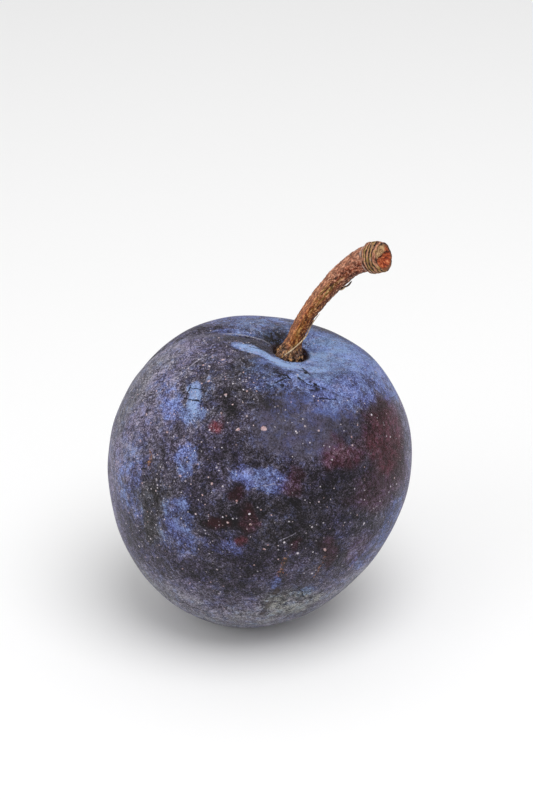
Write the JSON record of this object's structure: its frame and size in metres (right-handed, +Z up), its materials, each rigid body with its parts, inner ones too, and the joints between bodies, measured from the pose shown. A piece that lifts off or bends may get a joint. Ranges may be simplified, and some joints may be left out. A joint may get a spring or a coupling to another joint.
{
  "type": "plum",
  "caption": "Ripe blue plum with a waxy bloom, an egg-shaped body with a shallow stem cavity and a curved woody stem that ends in a ringed, cut-off knuckle",
  "frame": {"origin": "centre of the small flat resting spot under the fruit, at the level it stands on", "axes": "+Z is up. The fruit's own axis leans 14 degrees from +Z toward +X, and the stem bends over toward +X. -Y is the front, toward which the cut face of the stem turns. The suture runs over the shoulder on the -X side."},
  "size_m": [0.0426, 0.0409, 0.0587],
  "materials": {
    "skin": null,
    "stem": "rough brown bark-like skin with an olive streak and a raw orange-brown cut face"
  },
  "bodies": {
    "root": {"fruit": "skin", "stem": "stem"}
  },
  "joints": []
}
